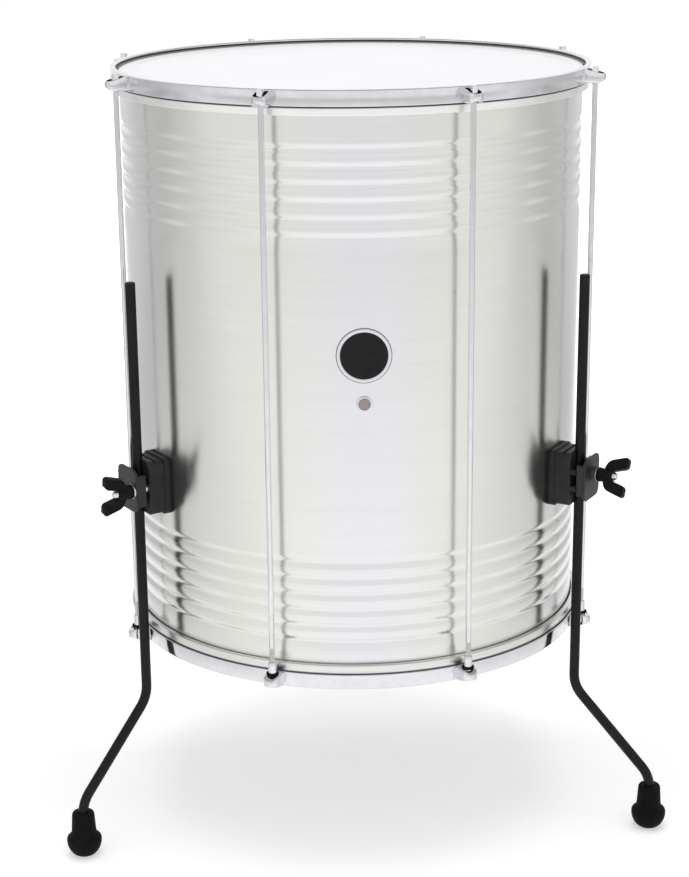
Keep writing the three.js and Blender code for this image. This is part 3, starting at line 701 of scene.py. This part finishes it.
def rod_shapes():
    """A tension rod with its flange and square key end, and its thread."""
    seat = HOOP_EDGE + 2.6
    shank = 2.65
    upper = [(0, thread_top), (shank - 0.35, thread_top), (shank, thread_top + 0.6)]
    upper += [(shank, thread_top + 0.6 + (seat - thread_top) * k / 6) for k in range(1, 6)]
    head = [(shank, 0), (4.6, 0), (4.6, 2.2), (3.9, 2.8), (3.9, 4.3), (2.6, 5.0), (0, 5.0)]
    head = soften([(r, seat + rise) for r, rise in head], 0.4, 2, closed=False)
    body = turned(upper + head, 24)
    half = 2.8
    key = soften([(-half, -half), (half, -half), (half, half), (-half, half)], 0.5, 2)
    top = HOOP_TOP + 1.2
    small = [(x * 0.86, y * 0.86) for x, y in key]
    loops = ((key, seat + 4.0), (key, top - 0.7), (small, top))
    verts = [(x, y, z) for loop, z in loops for x, y in loop]
    n = len(key)
    faces = [tuple(range(n))[::-1], tuple(range(2 * n, 3 * n))]
    for low in (0, n):
        for i in range(n):
            j = (i + 1) % n
            faces.append((low + i, low + j, low + n + j, low + n + i))
    thread = [(0, ROD_LOW), (1.9, ROD_LOW)]
    z = ROD_LOW + 0.5
    while z < thread_top - 1:
        thread += [(2.62, z), (2.2, z + 0.5)]
        z += 1.0
    thread += [(2.4, thread_top), (0, thread_top)]
    return joined(body, (verts, faces)), turned(thread, 20)


def nut_shape():
    lower = [(2.95, 0), (4.3, 0), (4.7, 0.6), (4.7, 5), (4.1, 5)]
    upper = [(4.1, -2.7), (3.8, -1.0), (3.3, 0), (2.95, 0)]
    shape = [(r, NUT_LOW + z) for r, z in lower] + [(r, NUT_HIGH + z) for r, z in upper]
    return turned(soften(shape, 0.25, 2), 28, True)


rod, thread = rod_shapes()
nut = nut_shape()
ring = [(4.4, RING_LOW), (6.0, RING_LOW), (6.0, RING_HIGH), (4.4, RING_HIGH)]
ring = turned(soften(ring, 0.7), 28, True)
rod, thread, nut, ring = (moved(shape, 0, -ROD_R) for shape in (rod, thread, nut, ring))
for i, a in enumerate(EARS, 1):
    turning = f"tension_rod_{i}"
    piece(f"rod_{i}", rod, turning, [turning], "chrome", CHROME, a)
    piece(f"rod_thread_{i}", thread, turning, [], "chrome", THREAD, a)
    piece(f"long_nut_{i}", nut, "drum", [f"tube_nut_{i}"], "chrome", CHROME, a)
    piece(f"nut_collar_{i}", ring, "drum", [f"nut_ring_{i}"], "rubber", RUBBER, a)

# ---- legs, feet and clamps ----
LEG_TOP = node_box("leg_1")[1][2]
LEG_SPREAD = 80
LEG_BEND = 13


def leg_path():
    corners = [(0, LEG_TOP), (0, 150), (-LEG_SPREAD, 55.5), (-LEG_SPREAD, 12.4)]
    corners = [Vector((0, y, z)) for y, z in corners]
    points = [corners[0], Vector((0, 0, 500)), Vector((0, 0, 300))]
    for i in (1, 2):
        p = corners[i]
        a = p + (corners[i - 1] - p).normalized() * LEG_BEND
        b = p + (corners[i + 1] - p).normalized() * LEG_BEND
        for k in range(9):
            u = k / 8
            points.append(a * (1 - u) ** 2 + p * (2 * u * (1 - u)) + b * u * u)
    points.append(corners[3])
    return points


leg = swept(leg_path(), 5.0, 32, 1.2)
foot = [(0, 0), (6.6, 0), (8.6, 0.5), (10.6, 1.5), (12.4, 3.0), (14.0, 4.9)]
foot += [(15.4, 7.3), (16.5, 10.0), (17.2, 12.8), (17.4, 15.6), (17.35, 17.4)]
foot += [(16.9, 19.0), (15.5, 20.5), (13.9, 21.9), (12.9, 23.2), (12.45, 25.0)]
foot += [(12.2, 28), (12.0, 31), (11.7, 36), (11.3, 42), (11.0, 44.6), (10.2, 45.8)]
foot += [(9.2, 46), (5.5, 46), (5.3, 45.4), (5.3, 12), (0, 12)]
foot = moved(turned(foot, 48), 0, -LEG_SPREAD)

BOLT_ASIDE = 13.0
PLATE_OUT = SHELL_R + 37.5
WASHER_IN = PLATE_OUT + GAP
HUB_IN = WASHER_IN + 1.8
BOLT_TIP = SHELL_R + 59
washer = [(4.2, 0), (7.4, 0), (7.4, 1.5), (4.2, 1.5)]
washer = turned(soften([(r, WASHER_IN + out) for r, out in washer], 0.35), 40, True)


def bolt_shape():
    head_low = SHELL_R + 3.1
    corners = [math.radians(60 * k + 30) for k in range(6)]
    hexagon = [(7.5 * math.cos(a), 7.5 * math.sin(a)) for a in corners]
    head = prism(hexagon, head_low, head_low + 5.3)
    shank = [(0, head_low + 4), (3.9, head_low + 4), (3.9, HUB_IN + 10)]
    z = HUB_IN + 10.5
    while z < BOLT_TIP - 1.2:
        shank += [(3.9, z), (3.35, z + 0.62)]
        z += 1.25
    shank += [(3.5, BOLT_TIP - 0.9), (2.9, BOLT_TIP), (0, BOLT_TIP)]
    return joined(head, turned(shank, 28))


def wing_shapes():
    """The wing nut's hub and its two wings."""
    hub = [(4.2, 0), (7.1, 0), (7.3, 1.2), (6.6, 6), (6.3, 16), (4.2, 16)]
    hub = turned(soften([(r, HUB_IN + out) for r, out in hub], 0.8), 40, True)
    side = [(5.0, 6.4), (9.4, 7.6), (13.4, 9.6), (15.6, 12.6), (20.2, 27.4)]
    side += [(18.4, 30), (10.6, 30), (8.4, 28), (6.0, 19.4), (5.0, 16.6)]
    right = soften(side, 1.9, 3)
    wings = []
    for sign in (1, -1):
        outline = [(sign * x, -(HUB_IN + out)) for x, out in right]
        wings.append(prism(outline, -3.9, 3.9))
    return hub, joined(*wings)


def plate_shape():
    """The pressed clamp plate: a rounded face with a bolt hole, two flanges and the saddle."""
    left, right, half = -17.7, 20.3, 21.6
    outline = soften([(left, -half), (right, -half), (right, half), (left, half)], 8.8, 7)
    hole = []
    for x, y in outline:
        a = math.atan2(y, x - BOLT_ASIDE)
        hole.append((BOLT_ASIDE + 4.5 * math.cos(a), 4.5 * math.sin(a)))
    n = len(outline)
    inner, outer = PLATE_OUT - 2.3, PLATE_OUT
    loops = ((outline, inner), (outline, outer), (hole, outer), (hole, inner))
    verts = [(x, y, z) for loop, z in loops for x, y in loop]
    faces = []
    for k in range(4):
        for i in range(n):
            j = (i + 1) % n
            faces.append((k * n + i, k * n + j, (k + 1) % 4 * n + j, (k + 1) % 4 * n + i))

    def flange(x_low, x_high, depth):
        edges = soften([(x_low, -16), (x_high, -16), (x_high, 16), (x_low, 16)], 0.9, 2)
        return outward(prism(edges, PLATE_OUT - depth, PLATE_OUT - 1.2))

    saddle = [(-5, -0.8), (5, -0.8), (5, 0), (2.5, 5), (-2.5, 5), (-5, 0)]
    saddle = prism([(x, y - inner) for x, y in saddle], -19.5, 19.5)
    flanges = joined(flange(right - 2.2, right, 10.7), flange(left, left + 2.2, 9.0))
    return joined(outward((verts, faces)), flanges, saddle)


def at_leg(shape, turn):
    return moved(spun(shape, turn), 0, -LEG_R)


def at_bolt(shape):
    return moved(shape, BOLT_ASIDE, 0, CLAMP_Z)


hub, wings = wing_shapes()
hub = at_bolt(outward(hub))
bolt = at_bolt(outward(bolt_shape()))
washer = at_bolt(outward(washer))
plate = moved(plate_shape(), 0, 0, CLAMP_Z)
black = "black_metal"
for i, (a, leg_turn, nut_turn) in enumerate(zip(LEGS, LEG_TURNS, NUT_TURNS), 1):
    leg_body, clamp, nut_body = f"leg_{i}", f"clamp_plate_{i}", f"wing_nut_{i}"
    turned_foot = at_leg(foot, leg_turn)
    turned_wings = at_bolt(spun(wings, 90 + nut_turn, "Y"))
    piece(f"leg_rod_{i}", at_leg(leg, leg_turn), leg_body, [leg_body], black, POWDER, a)
    piece(f"rubber_foot_{i}", turned_foot, leg_body, [f"leg_foot_{i}"], "rubber", RUBBER, a)
    piece(f"bright_washer_{i}", washer, clamp, [f"clamp_washer_{i}"], "chrome", CHROME, a)
    piece(f"pressed_plate_{i}", plate, clamp, [clamp], black, PLATE, a, bevel=0.7)
    piece(f"bolt_{i}", bolt, "drum", [f"clamp_bolt_{i}"], "chrome", THREAD, a)
    piece(f"nut_hub_{i}", hub, nut_body, [nut_body], black, NUT_BLACK, a)
    piece(f"nut_wings_{i}", turned_wings, nut_body, [], black, NUT_BLACK, a, bevel=0.9)

# ---- floor, light and camera ----
scene = bpy.context.scene
scene.view_settings.view_transform = "Standard"

FLOOR_RADIUS = 7
# The mirrored side zones: how far aside and how far back they set in, in metres on the
# floor and as parts of a direction in the world, each stretch back with its share.
FLOOR_ASIDE = (0.35, 0.9)
FLOOR_BACK = [(0.48, -1.3, -0.4), (0.52, -0.15, 0.95)]
WORLD_ASIDE = (0.4, 0.8)
WORLD_BACK = [(1.0, -0.6, 0.4)]
ZONE_FLOOR = 0.61
ZONE_WORLD = 0.62


def ranged(tree, value, low, high, start=0.0, end=1.0, smooth=False):
    """low to high while the value goes from start to end."""
    node = tree.nodes.new("ShaderNodeMapRange")
    if smooth:
        node.interpolation_type = "SMOOTHSTEP"
    for key, number in (("From Min", start), ("From Max", end), ("To Min", low), ("To Max", high)):
        node.inputs[key].default_value = number
    tree.links.new(value, node.inputs["Value"])
    return node.outputs["Result"]


def calc(tree, operation, one, two):
    node = tree.nodes.new("ShaderNodeMath")
    node.operation = operation
    for socket, value in zip(node.inputs, (one, two)):
        if hasattr(value, "is_linked"):
            tree.links.new(value, socket)
        else:
            socket.default_value = value
    return node.outputs[0]


def axes(tree, vector):
    node = tree.nodes.new("ShaderNodeSeparateXYZ")
    tree.links.new(vector, node.inputs["Vector"])
    return node.outputs


def side_zone(tree, vector, aside, back, spread):
    """1 at the sides and towards the back, 0 in front and along the middle.

    back lists (share, start, end): how much each stretch along Y adds.
    """
    x, y, _ = axes(tree, vector)
    far = calc(tree, "ABSOLUTE", x, 0)
    far = calc(tree, "SUBTRACT", far, calc(tree, "MULTIPLY", y, spread))
    across = ranged(tree, far, 0, 1, *aside, smooth=True)
    behind = 0.0
    for share, start, end in back:
        behind = calc(tree, "ADD", behind, ranged(tree, y, 0, share, start, end, smooth=True))
    return calc(tree, "MULTIPLY", across, behind)


def paper_material():
    """Pale paper that fades to white for the camera; only glossy rays meet the graded side."""
    mat = bpy.data.materials.new("floor_paper")
    mat.use_nodes = True
    tree = mat.node_tree
    tree.nodes.clear()
    place = tree.nodes.new("ShaderNodeTexCoord").outputs["Object"]
    ray = tree.nodes.new("ShaderNodeLightPath").outputs
    camera_ray = ray["Is Camera Ray"]
    mirror_ray = calc(tree, "MAXIMUM", ray["Is Glossy Ray"], ray["Is Transmission Ray"])
    y = axes(tree, place)[1]

    zone = side_zone(tree, place, FLOOR_ASIDE, FLOOR_BACK, 0.15)
    zone = calc(tree, "MULTIPLY", zone, calc(tree, "SUBTRACT", 1, camera_ray))
    diffuse = tree.nodes.new("ShaderNodeBsdfDiffuse")
    tree.links.new(ranged(tree, zone, 0.72, 0.3), diffuse.inputs["Color"])

    # Painted shade: a little darker under the drum; painted light: lighter behind it.
    bright = 0.50
    for change, start, end in ((-0.07, -0.32, -0.1), (0.13, -0.02, 0.13)):
        bright = calc(tree, "ADD", bright, ranged(tree, y, 0, change, start, end, smooth=True))
    length = tree.nodes.new("ShaderNodeVectorMath")
    length.operation = "LENGTH"
    tree.links.new(place, length.inputs[0])
    fade = ranged(tree, length.outputs["Value"], 0, 0.5, 0.6, 2.2, smooth=True)
    plain = calc(tree, "ADD", bright, fade)
    mirrored = calc(tree, "ADD", bright, ranged(tree, y, -0.2, 0, -2.8, -1.2))
    mirrored = calc(tree, "ADD", mirrored, ranged(tree, y, 0, 0.29, 0.6, 2.4, smooth=True))
    mirrored = calc(tree, "MULTIPLY", mirrored, ranged(tree, zone, 1.0, ZONE_FLOOR))

    direct = calc(tree, "MULTIPLY", camera_ray, plain)
    glossy = calc(tree, "MULTIPLY", mirror_ray, mirrored)
    glow = tree.nodes.new("ShaderNodeEmission")
    tree.links.new(calc(tree, "ADD", direct, glossy), glow.inputs["Strength"])
    both = tree.nodes.new("ShaderNodeAddShader")
    tree.links.new(diffuse.outputs[0], both.inputs[0])
    tree.links.new(glow.outputs[0], both.inputs[1])
    out = tree.nodes.new("ShaderNodeOutputMaterial")
    tree.links.new(both.outputs[0], out.inputs["Surface"])
    return mat


floor_mesh = bpy.data.meshes.new("floor")
spokes = [2 * math.pi * k / 64 for k in range(64)]
rim = [(FLOOR_RADIUS * math.cos(a), FLOOR_RADIUS * math.sin(a), 0) for a in spokes]
floor_mesh.from_pydata(rim, [], [tuple(range(64))])
floor_mesh.materials.append(paper_material())
floor = bpy.data.objects.new("floor", floor_mesh)
scene.collection.objects.link(floor)


def light_world():
    """White for the camera, dimmer for diffuse light; glossy rays meet sides and a ceiling."""
    world = bpy.data.worlds.new("studio")
    scene.world = world
    world.use_nodes = True
    tree = world.node_tree
    ray = tree.nodes.new("ShaderNodeLightPath").outputs
    way = tree.nodes.new("ShaderNodeTexCoord").outputs["Generated"]
    seen = calc(tree, "MAXIMUM", ray["Is Camera Ray"], ray["Is Glossy Ray"])
    seen = calc(tree, "MAXIMUM", seen, ray["Is Transmission Ray"])
    level = ranged(tree, seen, 0.6, 1.0)
    sides = ranged(tree, side_zone(tree, way, WORLD_ASIDE, WORLD_BACK, 0), 1.0, ZONE_WORLD)
    sides = calc(tree, "MAXIMUM", sides, ray["Is Camera Ray"])
    ceiling = ranged(tree, axes(tree, way)[2], 0, 0.5, 0.5, 0.85, smooth=True)
    ceiling = calc(tree, "MULTIPLY", ceiling, ray["Is Glossy Ray"])
    total = calc(tree, "MULTIPLY", level, sides)
    total = calc(tree, "MULTIPLY", total, calc(tree, "SUBTRACT", 1, ceiling))
    background = tree.nodes["Background"]
    background.inputs["Color"].default_value = (1, 1, 1, 1)
    tree.links.new(total, background.inputs["Strength"])


light_world()


def area(name, place, target, size, power):
    """A soft lamp that the metal doesn't mirror."""
    data = bpy.data.lights.new(name, "AREA")
    data.shape = "RECTANGLE"
    data.size, data.size_y = size
    data.energy = power
    light = bpy.data.objects.new(name, data)
    light.location = place
    light.visible_glossy = False
    way = Vector(target) - Vector(place)
    light.rotation_euler = way.to_track_quat("-Z", "Y").to_euler()
    scene.collection.objects.link(light)


area("overhead", (0, -0.1, 3.2), (0, -0.05, 0.4), (2.0, 2.0), 40)
area("front", (-0.3, -3.6, 1.5), (0, 0, 0.5), (3.6, 2.4), 14)

# The camera as fitted to the photograph: angles in degrees, the lens in pixels for a
# picture 877 pixels high, and the place from the drum's axis and the top hoop's edge.
TILT, ROLL, YAW, TURN = 16.91, -0.54, -0.10, -2.4
LENS_PIXELS, PICTURE_PIXELS = 1976.6, 877
SENSOR = 36
CAMERA_ASIDE = -6.0
CAMERA_BACK = 8.350 * HOOP_R
CAMERA_UP = 1.005 * HOOP_R - 12.1


def camera_columns():
    tilt, roll, yaw = math.radians(TILT), math.radians(ROLL), math.radians(YAW)
    right = Vector((math.cos(yaw), -math.sin(yaw), 0))
    level_way = Vector((math.sin(yaw), math.cos(yaw), 0))
    ahead = level_way * math.cos(tilt) - Vector((0, 0, math.sin(tilt)))
    up = level_way * math.sin(tilt) + Vector((0, 0, math.cos(tilt)))
    turn = Matrix.Rotation(math.radians(TURN), 3, "Z")
    rolled_right = right * math.cos(roll) + up * math.sin(roll)
    rolled_up = up * math.cos(roll) - right * math.sin(roll)
    place = turn @ Vector((CAMERA_ASIDE, -CAMERA_BACK, 0))
    return place, [turn @ rolled_right, turn @ rolled_up, turn @ -ahead]


camera_data = bpy.data.cameras.new("camera")
camera_data.sensor_fit = "VERTICAL"
camera_data.sensor_height = SENSOR
camera_data.lens = LENS_PIXELS / PICTURE_PIXELS * SENSOR
camera_data.clip_end = 60
camera = bpy.data.objects.new("camera", camera_data)
scene.collection.objects.link(camera)
place, columns = camera_columns()
spot = Vector((AXIS[0] + place.x, AXIS[1] + place.y, HOOP_EDGE + CAMERA_UP)) * MM
camera.matrix_world = Matrix.Translation(spot) @ Matrix(columns).transposed().to_4x4()
scene.camera = camera
